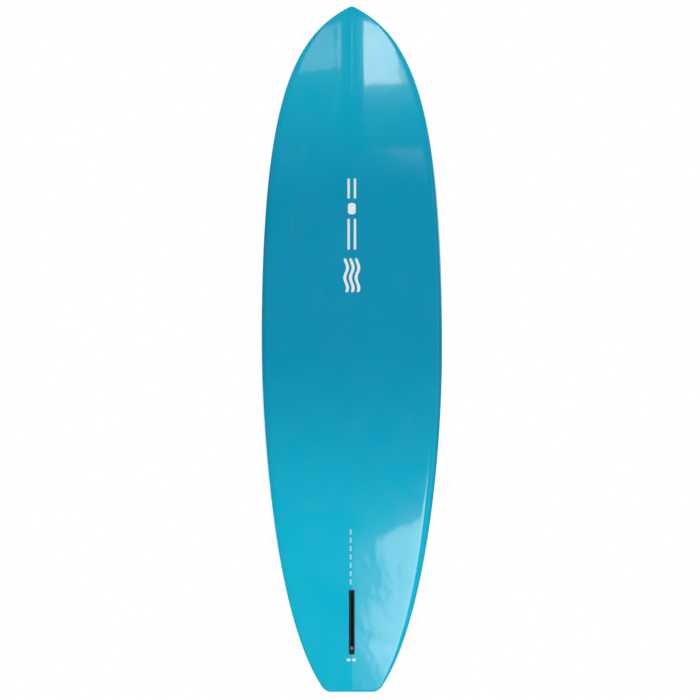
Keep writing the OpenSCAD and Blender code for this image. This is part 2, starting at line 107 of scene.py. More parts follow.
def bezier(points: Outline, t: float) -> tuple[float, float]:
    """Point of a cubic Bezier curve in the plane.

    Args:
        points: its four control points.
        t: parameter, from 0 to 1.

    Returns:
        The point.
    """
    weights = ((1 - t) ** 3, 3 * t * (1 - t) ** 2, 3 * t * t * (1 - t), t**3)
    return (
        sum(w * p[0] for w, p in zip(weights, points)),
        sum(w * p[1] for w, p in zip(weights, points)),
    )


def find_t(points: Outline, value: float) -> float:
    """Parameter where the falling first coordinate of a Bezier curve reaches a value.

    Args:
        points: the curve's four control points.
        value: the coordinate to find.

    Returns:
        The parameter, from 0 to 1.
    """
    a, b, c, d = (p[0] for p in points)
    low, high = 0.0, 1.0
    for _ in range(24):
        t = (low + high) / 2
        u = 1 - t
        if a * u * u * u + 3 * t * u * (b * u + c * t) + d * t * t * t > value:
            low = t
        else:
            high = t
    return (low + high) / 2


# ---------------------------------------------------------------- materials


class Graph:
    """A material's node tree, with short calls for the nodes that the finishes use."""

    def __init__(self, name: str) -> None:
        """Starts an empty material with one Principled shader.

        Args:
            name: name of the material.
        """
        self.material = bpy.data.materials.new(name)
        self.material.use_nodes = True
        self.tree = self.material.node_tree
        self.tree.nodes.clear()
        self.shader = self.tree.nodes.new("ShaderNodeBsdfPrincipled")
        output = self.tree.nodes.new("ShaderNodeOutputMaterial")
        self.tree.links.new(self.shader.outputs["BSDF"], output.inputs["Surface"])
        self.place = self.tree.nodes.new("ShaderNodeTexCoord").outputs["Object"]

    def set(self, **values: object) -> None:
        """Sets constants or links on the shader's sockets, whose names use _ for a space.

        Args:
            values: a constant or a link for each socket.
        """
        for name, value in values.items():
            socket = self.shader.inputs[name.replace("_", " ")]
            if isinstance(value, bpy.types.NodeSocket):
                self.tree.links.new(value, socket)
            else:
                socket.default_value = value

    def node(self, kind: str, inputs: dict[object, object], **settings: object) -> bpy.types.Node:
        """Adds a node.

        Args:
            kind: the node's Blender type, without the ShaderNode prefix.
            inputs: constants and links, by socket name or number.
            settings: attributes of the node itself.

        Returns:
            The node.
        """
        made = self.tree.nodes.new("ShaderNode" + kind)
        for name, value in settings.items():
            setattr(made, name, value)
        for name, value in inputs.items():
            if isinstance(value, bpy.types.NodeSocket):
                self.tree.links.new(value, made.inputs[name])
            else:
                made.inputs[name].default_value = value
        return made

    def mapped(self, scale: tuple[float, float, float]) -> bpy.types.NodeSocket:
        """Object coordinates, stretched by a scale per axis."""
        return self.node("Mapping", {"Vector": self.place, "Scale": scale}).outputs["Vector"]

    def noise(self, scale: float, detail: float = 3.0,
              stretch: tuple[float, float, float] = (1, 1, 1)) -> bpy.types.NodeSocket:
        """Noise from 0 to 1, with scale cells to the metre.

        Args:
            scale: cells to the metre.
            detail: octaves of finer noise.
            stretch: scale of the coordinates on each axis.

        Returns:
            The noise.
        """
        vector = self.place if stretch == (1, 1, 1) else self.mapped(stretch)
        return self.node(
            "TexNoise", {"Vector": vector, "Scale": scale, "Detail": detail}
        ).outputs["Fac"]

    def span(self, value: bpy.types.NodeSocket, low: float, high: float, to_low: float,
             to_high: float) -> bpy.types.NodeSocket:
        """A value moved from one range to another, and held inside it.

        Args:
            value: the value.
            low: start of the range that it comes from.
            high: end of the range that it comes from.
            to_low: start of the range that it goes to.
            to_high: end of the range that it goes to.

        Returns:
            The new value.
        """
        return self.node(
            "MapRange", {"Value": value, 1: low, 2: high, 3: to_low, 4: to_high}
        ).outputs["Result"]

    def mix(self, share: object, first: object, second: object) -> bpy.types.NodeSocket:
        """Mixes two colours.

        Args:
            share: share of the second colour, constant or linked.
            first: first colour, constant or linked.
            second: second colour, constant or linked.

        Returns:
            The mixed colour.
        """
        made = self.node("Mix", {0: share}, data_type="RGBA")
        for number, colour in ((6, first), (7, second)):
            if isinstance(colour, bpy.types.NodeSocket):
                self.tree.links.new(colour, made.inputs[number])
            else:
                made.inputs[number].default_value = (*colour, 1.0)
        return made.outputs[2]

    def math(self, operation: str, first: object, second: object = 0.0) -> bpy.types.NodeSocket:
        """Sum, product or another operation on two values."""
        return self.node("Math", {0: first, 1: second}, operation=operation).outputs[0]

    def bump(self, height: bpy.types.NodeSocket, distance: float, strength: float = 1.0,
             under: Optional[bpy.types.NodeSocket] = None) -> bpy.types.NodeSocket:
        """Bump of a height in metres, on top of another bump if one is given.

        Args:
            height: the height, from 0 to 1.
            distance: how many metres a height of 1 stands for.
            strength: share of the bump that shows.
            under: bump that this one lies on.

        Returns:
            The bent normal.
        """
        inputs: dict[object, object] = {
            "Height": height, "Distance": distance, "Strength": strength,
        }
        if under is not None:
            inputs["Normal"] = under
        return self.node("Bump", inputs).outputs["Normal"]


@dataclass(frozen=True)
class GlossPaint:
    """Sprayed and polished paint over glass cloth, paler towards both ends of the board; on the
    bottom that paleness is in part painted light, standing in for the brightening that the lamps
    give both ends.
    """

    name: str
    middle: Colour
    tail: Colour
    nose: Colour
    roughness: float = 0.16
    waviness: float = 0.00045
    peel: float = 0.000006
    tail_fade: tuple[float, float] = (0.10, -1.05)
    nose_fade: tuple[float, float] = (0.60, 1.32)

    def fade(self, g: Graph, places: tuple[float, float]) -> bpy.types.NodeSocket:
        """Share of an end's colour along the board.

        Args:
            g: the material's graph.
            places: where the fade starts and where it is complete, along the board.

        Returns:
            A socket that goes smoothly from 0 to 1 between the two places.
        """
        along = g.node("SeparateXYZ", {"Vector": g.place}).outputs["X"]
        return g.node("MapRange", {"Value": along, 1: places[0], 2: places[1], 3: 0.0, 4: 1.0},
                      interpolation_type="SMOOTHSTEP").outputs["Result"]

    def build(self) -> bpy.types.Material:
        """Makes the material.

        Returns:
            The material.
        """
        g = Graph(self.name)
        # The end colours fade in towards tail and nose; on the bottom this is partly painted light,
        # a painted brightening of both ends.
        colour = g.mix(self.fade(g, self.tail_fade), self.middle, self.tail)
        colour = g.mix(self.fade(g, self.nose_fade), colour, self.nose)
        cloudy = g.span(g.noise(2.3, 4.0), 0.3, 0.7, 0.0, 0.08)
        colour = g.mix(cloudy, colour, tuple(0.8 * c for c in self.middle))
        dust = g.span(g.noise(900.0, 2.0), 0.74, 0.82, 0.0, 0.10)
        colour = g.mix(dust, colour, (0.75, 0.82, 0.84))
        scratches = g.span(g.noise(26.0, 2.0, (0.06, 1.0, 1.0)), 0.66, 0.74, 0.0, 0.09)
        rough = g.math("ADD", g.span(g.noise(7.0), 0.3, 0.7, self.roughness - 0.03,
                                     self.roughness + 0.04), scratches)
        waves = g.bump(g.noise(11.0, 2.0, (0.7, 1.0, 1.0)), self.waviness)
        peel = g.bump(g.noise(420.0, 1.0), self.peel, 1.0, waves)
        g.set(Base_Color=colour, Roughness=rough, Normal=peel, Coat_Weight=0.75,
              Coat_Roughness=0.05, Coat_Normal=waves)
        return g.material


@dataclass(frozen=True)
class MouldedPlastic:
    """Injection-moulded plastic with a fine spark-eroded grain and polished high spots."""

    name: str
    colour: Colour
    roughness: float = 0.42
    grain: float = 0.00003

    def build(self) -> bpy.types.Material:
        """Makes the material.

        Returns:
            The material.
        """
        g = Graph(self.name)
        rub = g.span(g.noise(55.0, 4.0), 0.42, 0.72, 0.0, 0.35)
        colour = g.mix(rub, self.colour, tuple(min(1.0, 1.5 * c + 0.012) for c in self.colour))
        rough = g.span(g.noise(130.0), 0.3, 0.7, self.roughness - 0.08, self.roughness + 0.1)
        g.set(Base_Color=colour, Roughness=rough,
              Normal=g.bump(g.noise(2600.0, 2.0), self.grain, 0.6))
        return g.material


@dataclass(frozen=True)
class FoamPad:
    """Closed-cell deck pad foam: matt, brushed, with fine open cells and a little dust."""

    name: str
    colour: Colour
    pale: Colour

    def build(self) -> bpy.types.Material:
        """Makes the material.

        Returns:
            The material.
        """
        g = Graph(self.name)
        cells = g.node("TexVoronoi", {"Vector": g.place, "Scale": 850.0},
                       feature="F1").outputs["Distance"]
        blotch = g.span(g.noise(9.0, 5.0), 0.3, 0.7, 0.0, 0.5)
        colour = g.mix(blotch, self.colour, self.pale)
        specks = g.span(g.noise(1500.0, 2.0), 0.62, 0.75, 0.0, 0.4)
        colour = g.mix(specks, colour, tuple(0.55 * c for c in self.colour))
        brushed = g.bump(g.noise(700.0, 3.0), 0.0003, 0.7)
        g.set(Base_Color=colour, Roughness=g.span(blotch, 0.0, 0.5, 0.86, 0.96),
              Normal=g.bump(cells, 0.0002, 0.5, brushed), Sheen_Weight=0.25, Sheen_Roughness=0.6)
        return g.material


@dataclass(frozen=True)
class Metal:
    """Turned or drawn metal with brushing, spots and slight staining."""

    name: str
    colour: Colour
    stain: Colour
    roughness: float = 0.26

    def build(self) -> bpy.types.Material:
        """Makes the material.

        Returns:
            The material.
        """
        g = Graph(self.name)
        stain = g.span(g.noise(160.0, 5.0), 0.5, 0.8, 0.0, 0.6)
        brushing = g.noise(1400.0, 2.0, (1.0, 1.0, 0.08))
        rough = g.math("ADD", g.span(brushing, 0.3, 0.7, self.roughness - 0.07,
                                     self.roughness + 0.09), g.math("MULTIPLY", stain, 0.25))
        g.set(Base_Color=g.mix(stain, self.colour, self.stain), Metallic=1.0, Roughness=rough,
              Normal=g.bump(brushing, 0.00002, 0.6))
        return g.material


@dataclass(frozen=True)
class BeadFoam:
    """Expanded foam: packed beads, finer and darker for the dense blocks."""

    name: str
    colour: Colour
    beads: float

    def build(self) -> bpy.types.Material:
        """Makes the material.

        Returns:
            The material.
        """
        g = Graph(self.name)
        beads = g.node("TexVoronoi", {"Vector": g.place, "Scale": self.beads},
                       feature="DISTANCE_TO_EDGE").outputs["Distance"]
        seam = g.span(beads, 0.0, 0.12, 1.0, 0.0)
        colour = g.mix(g.math("MULTIPLY", seam, 0.5), self.colour,
                       tuple(0.7 * c for c in self.colour))
        g.set(Base_Color=colour, Roughness=0.85, Subsurface_Weight=0.1,
              Normal=g.bump(g.span(beads, 0.0, 0.3, 0.0, 1.0), 0.0004, 0.6))
        return g.material


@dataclass(frozen=True)
class PlankWood:
    """Straight-grained wood, sealed with thin resin, with its grain along the board."""

    name: str
    pale: Colour
    dark: Colour

    def build(self) -> bpy.types.Material:
        """Makes the material.

        Returns:
            The material.
        """
        g = Graph(self.name)
        grain = g.noise(90.0, 6.0, (0.03, 1.0, 1.0))
        rings = g.node("TexWave", {"Vector": g.mapped((0.05, 1.0, 1.0)), "Scale": 22.0,
                                   "Distortion": 5.0, "Detail": 3.0}).outputs["Fac"]
        share = g.math("ADD", g.math("MULTIPLY", grain, 0.6), g.math("MULTIPLY", rings, 0.35))
        g.set(Base_Color=g.mix(share, self.pale, self.dark),
              Roughness=g.span(grain, 0.3, 0.7, 0.45, 0.62),
              Normal=g.bump(grain, 0.0002, 0.5))
        return g.material


@dataclass(frozen=True)
class VinylFilm:
    """Thin printed film under clear gloss, very slightly mottled."""

    name: str
    colour: Colour

    def build(self) -> bpy.types.Material:
        """Makes the material.

        Returns:
            The material.
        """
        g = Graph(self.name)
        mottle = g.span(g.noise(40.0, 4.0), 0.35, 0.7, 0.0, 0.12)
        g.set(Base_Color=g.mix(mottle, self.colour, tuple(0.8 * c for c in self.colour)),
              Roughness=g.span(g.noise(300.0), 0.3, 0.7, 0.24, 0.36), Coat_Weight=0.5,
              Coat_Roughness=0.06, Normal=g.bump(g.noise(60.0), 0.00004, 0.5))
        return g.material


@dataclass(frozen=True)
class StudioFloor:
    """Plain pale floor, seen from above only, so that it never hides the bottom of the board."""

    colour: Colour = (0.86, 0.87, 0.88)

    def build(self) -> bpy.types.Material:
        """Makes the material.

        Returns:
            The material.
        """
        g = Graph("studio_floor")
        g.set(Base_Color=(*self.colour, 1.0), Roughness=0.9)
        clear = g.tree.nodes.new("ShaderNodeBsdfTransparent")
        behind = g.node("NewGeometry", {}).outputs["Backfacing"]
        mixed = g.tree.nodes.new("ShaderNodeMixShader")
        g.tree.links.new(behind, mixed.inputs[0])
        g.tree.links.new(g.shader.outputs["BSDF"], mixed.inputs[1])
        g.tree.links.new(clear.outputs[0], mixed.inputs[2])
        output = next(n for n in g.tree.nodes if n.type == "OUTPUT_MATERIAL")
        g.tree.links.new(mixed.outputs[0], output.inputs["Surface"])
        return g.material


class Finishes:
    """Every finish on the board, built once and shared."""

    def __init__(self) -> None:
        """Builds the materials."""
        # The bottom's paler tail and nose colours are partly painted light: they paint in part of
        # the brightening that the lamps give both ends.
        self.bottom = GlossPaint("bottom_paint", (0.0, 0.290, 0.480), (0.0, 0.50, 0.70),
                                 (0.0, 0.435, 0.62)).build()
        self.deck = GlossPaint("deck_paint", (0.80, 0.83, 0.84), (0.74, 0.81, 0.83),
                               (0.76, 0.82, 0.84), 0.22).build()
        self.rim_plastic = MouldedPlastic("fin_box_plastic", (0.020, 0.013, 0.014), 0.5).build()
        self.black = MouldedPlastic("black_plastic", (0.009, 0.010, 0.011), 0.4).build()
        self.grey = MouldedPlastic("grey_plastic", (0.11, 0.12, 0.13), 0.45).build()
        self.steel = Metal("stainless_steel", (0.66, 0.67, 0.68), (0.42, 0.41, 0.40)).build()
        self.brass = Metal("brass", (0.80, 0.58, 0.25), (0.42, 0.28, 0.12), 0.3).build()
        self.rubber = MouldedPlastic("seal_rubber", (0.012, 0.012, 0.012), 0.62).build()
        self.pad = FoamPad("deck_pad_foam", (0.105, 0.135, 0.155), (0.16, 0.19, 0.21)).build()
        self.kick = FoamPad("kick_pad_foam", (0.03, 0.20, 0.28), (0.05, 0.26, 0.34)).build()
        self.sandwich = BeadFoam("sandwich_foam", (0.72, 0.64, 0.42), 900.0).build()
        self.light_foam = BeadFoam("bead_foam", (0.88, 0.89, 0.89), 240.0).build()
        self.dense_foam = BeadFoam("dense_foam", (0.48, 0.50, 0.47), 1200.0).build()
        self.wood = PlankWood("stringer_wood", (0.74, 0.55, 0.34), (0.50, 0.32, 0.17)).build()
        self.white_film = VinylFilm("white_film", (0.84, 0.86, 0.87)).build()
        self.pale_film = VinylFilm("pale_film", (0.42, 0.66, 0.74)).build()


# ---------------------------------------------------------------- meshes


def make_object(name: str, mesh: bmesh.types.BMesh, material: bpy.types.Material,
                sharp: float = 32.0) -> bpy.types.Object:
    """Turns a bmesh into a smooth-shaded object with sharp edges kept.

    Args:
        name: name of the piece.
        mesh: its shape, which is freed.
        material: its finish.
        sharp: angle in degrees above which an edge is shaded sharp.

    Returns:
        The object, at the origin.
    """
    data = bpy.data.meshes.new(name)
    mesh.to_mesh(data)
    mesh.free()
    piece = bpy.data.objects.new(name, data)
    bpy.context.scene.collection.objects.link(piece)
    finish_shading(piece, material, sharp)
    return piece


def finish_shading(piece: bpy.types.Object, material: bpy.types.Material, sharp: float) -> None:
    """Gives a piece its material, and smooth shading between its sharp edges.

    Args:
        piece: the piece.
        material: its finish, which replaces any other.
        sharp: angle in degrees above which an edge is shaded sharp.
    """
    piece.data.materials.clear()
    piece.data.materials.append(material)
    piece.data.polygons.foreach_set("use_smooth", [True] * len(piece.data.polygons))
    piece.data.set_sharp_from_angle(angle=math.radians(sharp))
    piece.data.update()


def mapped_grid(columns: int, rows: int, place: Callable[[float, float], Vector]
                ) -> bmesh.types.BMesh:
    """A grid whose points are moved onto a surface.

    Args:
        columns: faces along the first direction.
        rows: faces along the second direction.
        place: the surface, from two shares of 0 to 1 to a point.

    Returns:
        The open sheet.
    """
    mesh = bmesh.new()
    bmesh.ops.create_grid(mesh, x_segments=columns, y_segments=rows, size=0.5)
    for vertex in mesh.verts:
        u = min(max(vertex.co.x + 0.5, 0.0), 1.0)
        v = min(max(vertex.co.y + 0.5, 0.0), 1.0)
        vertex.co = place(u, v)
    return mesh


def thicken(mesh: bmesh.types.BMesh, drop: Callable[[Vector], Vector]) -> None:
    """Closes an open sheet with a copy of itself that is moved point by point.

    Args:
        mesh: the sheet.
        drop: where a point of the copy goes.
    """
    made = bmesh.ops.extrude_face_region(mesh, geom=mesh.faces[:])
    for item in made["geom"]:
        if isinstance(item, bmesh.types.BMVert):
            item.co = drop(item.co)
    bmesh.ops.recalc_face_normals(mesh, faces=mesh.faces[:])


def prism(outline: Outline, low: float, high: float, turn: Matrix = Matrix.Identity(4)
          ) -> bmesh.types.BMesh:
    """Upright solid over an outline, from one height to another.

    Args:
        outline: its outline, from above.
        low: its lower height.
        high: its upper height.
        turn: where it is placed.

    Returns:
        The solid.
    """
    mesh = bmesh.new()
    bmesh.ops.create_circle(mesh, cap_ends=True, segments=len(outline), radius=1.0)
    for vertex, (x, y) in zip(list(mesh.verts), outline):
        vertex.co = Vector((x, y, low))
    thicken(mesh, lambda p: Vector((p.x, p.y, high)))
    bmesh.ops.transform(mesh, matrix=turn, verts=mesh.verts[:])
    return mesh


def round_outline(length: float, width: float, radius: float, steps: int = 16) -> Outline:
    """Outline of a rectangle with round corners, centred, counter-clockwise.

    Args:
        length: size along the first axis.
        width: size along the second axis.
        radius: radius of its corners.
        steps: edges to a corner.

    Returns:
        The outline.
    """
    points = []
    for corner, (sx, sy) in enumerate(((1, 1), (-1, 1), (-1, -1), (1, -1))):
        for i in range(steps + 1):
            angle = math.radians(90 * (corner + i / steps))
            points.append((sx * (length / 2 - radius) + radius * math.cos(angle),
                           sy * (width / 2 - radius) + radius * math.sin(angle)))
    return points


def carve(piece: bpy.types.Object, cutters: Iterable[bmesh.types.BMesh],
          operation: str = "DIFFERENCE") -> None:
    """Cuts solids that don't touch each other out of a piece, or keeps only what lies in them.

    Args:
        piece: the piece, whose mesh is replaced.
        cutters: the solids, which are freed.
        operation: DIFFERENCE or INTERSECT.
    """
    together = bmesh.new()
    for cutter in cutters:
        bmesh.ops.recalc_face_normals(cutter, faces=cutter.faces[:])
        loose = bpy.data.meshes.new("cutter")
        cutter.to_mesh(loose)
        cutter.free()
        together.from_mesh(loose)
        bpy.data.meshes.remove(loose)
    data = bpy.data.meshes.new("cutter")
    together.to_mesh(data)
    together.free()
    helper = bpy.data.objects.new("cutter", data)
    bpy.context.scene.collection.objects.link(helper)
    modifier = piece.modifiers.new("cut", "BOOLEAN")
    modifier.operation = operation
    modifier.solver = "EXACT"
    modifier.object = helper
    bpy.context.view_layer.update()
    shown = piece.evaluated_get(bpy.context.evaluated_depsgraph_get())
    cut = bpy.data.meshes.new_from_object(shown)
    piece.modifiers.clear()
    old, piece.data = piece.data, cut
    bpy.data.meshes.remove(old)
    cut.name = piece.name
    bpy.data.objects.remove(helper)
    bpy.data.meshes.remove(data)


def round_edges(mesh: bmesh.types.BMesh, width: float, segments: int, angle: float) -> None:
    """Rounds the sharp edges of a solid.

    Args:
        mesh: the solid.
        width: size of the rounding.
        segments: steps of the rounding.
        angle: angle in degrees above which an edge is rounded.
    """
    edges = [e for e in mesh.edges
             if len(e.link_faces) == 2 and e.calc_face_angle(0.0) > math.radians(angle)]
    bmesh.ops.bevel(mesh, geom=edges, offset=width, segments=segments, profile=0.5,
                    affect="EDGES", material=-1, clamp_overlap=True)


def soften(piece: bpy.types.Object, width: float, angle: float) -> None:
    """Rounds the sharp edges of a finished piece.

    Args:
        piece: the piece, whose mesh is changed.
        width: size of the rounding.
        angle: angle in degrees above which an edge is rounded.
    """
    mesh = bmesh.new()
    mesh.from_mesh(piece.data)
    round_edges(mesh, width, 2, angle)
    mesh.to_mesh(piece.data)
    mesh.free()


def rounded_copy(node: str, width: float, segments: int) -> bmesh.types.BMesh:
    """A copy of a CAD node's mesh, with its flat faces joined and its edges rounded.

    Args:
        node: the CAD node.
        width: size of the rounding.
        segments: steps of the rounding.

    Returns:
        The copy.
    """
    mesh = bmesh.new()
    mesh.from_mesh(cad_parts[node].data)
    bmesh.ops.remove_doubles(mesh, verts=mesh.verts[:], dist=SAME_POINT)
    bmesh.ops.dissolve_limit(mesh, angle_limit=math.radians(FLAT_ANGLE), verts=mesh.verts[:],
                             edges=mesh.edges[:])
    round_edges(mesh, width, segments, CORNER_ANGLE)
    return mesh


def refined(node: str, body: str, material: bpy.types.Material, width: float,
            segments: int = 2) -> bpy.types.Object:
    """A finer copy of a hard CAD node, with its edges rounded, that stands for the node.

    Args:
        node: the CAD node.
        body: the CAD body that it belongs to.
        material: its finish.
        width: size of the rounding on its edges.
        segments: steps of the rounding.

    Returns:
        The piece, riding on the body.
    """
    piece = make_object(node + "_fine", rounded_copy(node, width, segments), material)
    adopt(piece, body, node)
    return piece


def adopt(piece: bpy.types.Object, body: str, *nodes: str) -> None:
    """Makes a piece ride on a body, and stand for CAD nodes.

    Args:
        piece: the piece.
        body: the CAD body that it rides on.
        nodes: the CAD nodes that it stands for.
    """
    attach(piece, body)
    if nodes:
        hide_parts(*nodes)
    LOG.info("%s: %d faces, rides on %s", piece.name, len(piece.data.polygons), body)


# ---------------------------------------------------------------- hull


@dataclass(frozen=True)
class Section:
    """What a cross-section of the hull needs, at one place along the board."""

    half_width: float
    low: float
    top: float
    rail: float
    tuck: float
    rise: float
    hump: float
    lift: float
    hollow: float

    @property
    def flat(self) -> float:
        """Half width of the bottom panels inside the tucked rails."""
        return self.half_width - self.tuck


@dataclass(frozen=True)
class HullLines:
    """The lines of the hull, in metres: outline, keel, thickness and cross-section."""

    length: float
    width: float
    middle_depth: float = 117 * MM
    tail_width: float = 233 * MM
    nose_width: float = 13 * MM
    tail_depth: float = 32 * MM
    nose_depth: float = 15 * MM
    tail_lift: float = 55 * MM
    nose_lift: float = 140 * MM
    tail_vee: float = 10 * MM
    nose_vee: float = 20 * MM
    ridge_height: float = 9 * MM
    ridge_width: float = 62 * MM
    straight_run: float = 485 * MM
    tail_corner: float = 22 * MM
    tail_edge: float = 8 * MM
    nose_edge: float = 3 * MM
    crest: float = 1.6 * MM
    widest: float = 0.5017
    lowest_step: float = 0.18
    panel_share: float = 0.7
    rail_band: float = 42 * MM
    band_share: float = 10 / 52

    @property
    def nose_line(self) -> Outline:
        """Control points of the outline from the nose to the widest place."""
        return [(1.0, self.nose_width / self.width), (0.954, 0.7184),
                (self.widest + 0.3394, 1.0), (self.widest, 1.0)]

    @property
    def tail_line(self) -> Outline:
        """Control points of the outline from the widest place to the tail."""
        return [(self.widest, 1.0), (self.widest - 0.1823, 1.0), (0.0823, 0.7745),
                (0.0, self.tail_width / self.width)]

    def share(self, x: float) -> float:
        """Share of the length from the tail, at a place along the board."""
        return min(max(x / self.length + 0.5, 0.0), 1.0)

    @lru_cache(maxsize=8192)
    def half_width(self, x: float) -> float:
        """Half width of the outline at x, with the corners rounded.

        Args:
            x: place along the board.

        Returns:
            The half width.
        """
        s = self.share(x)
        line = self.nose_line if s > self.widest else self.tail_line
        full = self.width / 2 * bezier(line, find_t(line, s))[1]
        return max(full - rounded(self.tail_corner, s * self.length)
                   - rounded(self.nose_edge, (1 - s) * self.length), 1 * MM)

    def keel(self, s: float) -> float:
        """Height of the keel at a share of the length.

        Args:
            s: share of the length from the tail.

        Returns:
            The height.
        """
        flat = bezier(self.tail_line, self.lowest_step)[0]
        straight = self.straight_run / self.length
        bend = flat - straight
        if s > flat:
            return self.nose_lift * ((s - flat) / (1 - flat)) ** 2.5
        rise = (flat - s) ** 2 if s > straight else bend**2 + 2 * bend * (straight - s)
        return self.tail_lift * rise / (bend**2 + 2 * bend * straight)

    def depth(self, s: float) -> float:
        """Thickness of the board on its centre line.

        Args:
            s: share of the length from the tail.

        Returns:
            The thickness.
        """
        if s > self.widest:
            u = (s - self.widest) / (1 - self.widest)
            return (self.nose_depth + (self.middle_depth - self.nose_depth)
                    * max(1 - u**2.6, 0.0) ** 0.85)
        u = (self.widest - s) / self.widest
        return (self.tail_depth + (self.middle_depth - self.tail_depth)
                * max(1 - u**2.4, 0.0) ** 0.9)

    def rail(self, s: float) -> float:
        """Height of the rail's outermost line."""
        return self.keel(s) + self.depth(s) * (0.42 + 0.08 * smooth((s - 0.8) / 0.2))

    def vee(self, s: float) -> float:
        """Rise of the bottom panels from the keel to the rails."""
        return (1.5 * MM + self.tail_vee * smooth((0.32 - s) / 0.22)
                + self.nose_vee * smooth((s - 0.66) / 0.22) * (1 - 0.9 * smooth((s - 0.93) / 0.07)))

    def ridge(self, s: float) -> float:
        """Height of the keel ridge below the hollows beside it."""
        return (self.ridge_height * smooth((s - 0.74) / 0.14)
                * (1 - 0.9 * smooth((s - 0.955) / 0.045)))

    def edge(self, s: float) -> float:
        """How far the rounded ends draw in the bottom and the deck."""
        return (rounded(self.tail_edge, s * self.length)
                + rounded(self.nose_edge, (1 - s) * self.length))

    @lru_cache(maxsize=8192)
    def section(self, x: float) -> Section:
        """Cross-section at x, with the rounded ends drawn in.

        Args:
            x: place along the board.

        Returns:
            The cross-section.
        """
        s = self.share(x)
        w, rail = self.half_width(x), self.rail(s)
        low = self.keel(s) + self.edge(s)
        top = self.keel(s) + self.depth(s) - self.edge(s)
        rise, hump = self.vee(s), self.ridge(s)
        tuck = min(0.36 * (top - low), 0.45 * w)
        return Section(w, low, top, rail, tuck, rise, hump,
                       min(1.0, 0.45 * (rail - low) / (rise + hump)),
                       min(self.ridge_width, 0.8 * (w - tuck)))

    def bottom_height(self, x: float, y: float) -> float:
        """Height of the bottom panel at a point inside the tucked rails.

        Args:
            x: place along the board.
            y: distance from the centre line.

        Returns:
            The height.
        """
        c = self.section(x)
        blunt = math.sqrt(y * y + self.crest**2) - self.crest
        v = 1.0 if blunt >= c.hollow else 1 - (1 - blunt / c.hollow) ** 2
        return c.low + c.lift * (c.rise * blunt / c.flat + c.hump * v)

    def bottom_point(self, x: float, v: float) -> Vector:
        """Point of the bottom, with v from -1 at the starboard rail to 1 at the port rail.

        Args:
            x: place along the board.
            v: place across the board.

        Returns:
            The point.
        """
        c = self.section(x)
        side = -1.0 if v < 0 else 1.0
        a = abs(v)
        if a <= self.panel_share:
            y = c.flat * (a / self.panel_share) ** 1.5
            return Vector((x, side * y, self.bottom_height(x, y)))
        z = self.bottom_height(x, c.flat)
        rise = (z - self.bottom_height(x, 0.9 * c.flat)) / (0.1 * c.flat)
        turn = [(c.flat, z), (c.flat + 0.6 * c.tuck, z + 0.6 * c.tuck * rise),
                (c.half_width, c.rail - 0.55 * (c.rail - z)), (c.half_width, c.rail)]
        t = (a - self.panel_share) / (1 - self.panel_share)
        y, z = bezier(turn, 1 - (1 - t) ** 1.3)
        return Vector((x, side * y, z))

    def deck_line(self, x: float) -> Outline:
        """Control points of the deck's cross-section, from the rail to the centre line.

        Args:
            x: place along the board.

        Returns:
            The four control points.
        """
        c = self.section(x)
        return [(c.half_width, c.rail), (c.half_width, c.rail + 0.66 * (c.top - c.rail)),
                (0.6 * c.half_width, c.top), (0.0, c.top)]

    def deck_point(self, x: float, v: float) -> Vector:
        """Point of the deck, with v from -1 at the starboard rail to 1 at the port rail.

        Args:
            x: place along the board.
            v: place across the board.

        Returns:
            The point.
        """
        line = self.deck_line(x)
        w = line[0][0]
        band = find_t(line, w - min(self.rail_band, 0.35 * w))
        a = 1 - abs(v)
        if a < self.band_share:
            t = band * a / self.band_share
        else:
            t = band + (1 - band) * (a - self.band_share) / (1 - self.band_share)
        y, z = bezier(line, min(t, 1.0))
        return Vector((x, -y if v < 0 else y, z))

    def deck_height(self, x: float, y: float) -> float:
        """Height of the deck at a point."""
        line = self.deck_line(x)
        return bezier(line, find_t(line, abs(y)))[1]

    def station(self, u: float) -> float:
        """Place along the board for an even share u, closer together towards both ends.

        Args:
            u: the even share, from 0 at the tail to 1 at the nose.

        Returns:
            The place.
        """
        u = u - 0.8 * math.sin(2 * math.pi * u) / (2 * math.pi)
        if u < 0.5:
            s = bezier(self.tail_line, 1 - 2 * u)[0]
        else:
            s = bezier(self.nose_line, 2 - 2 * u)[0]
        return (s - 0.5) * self.length


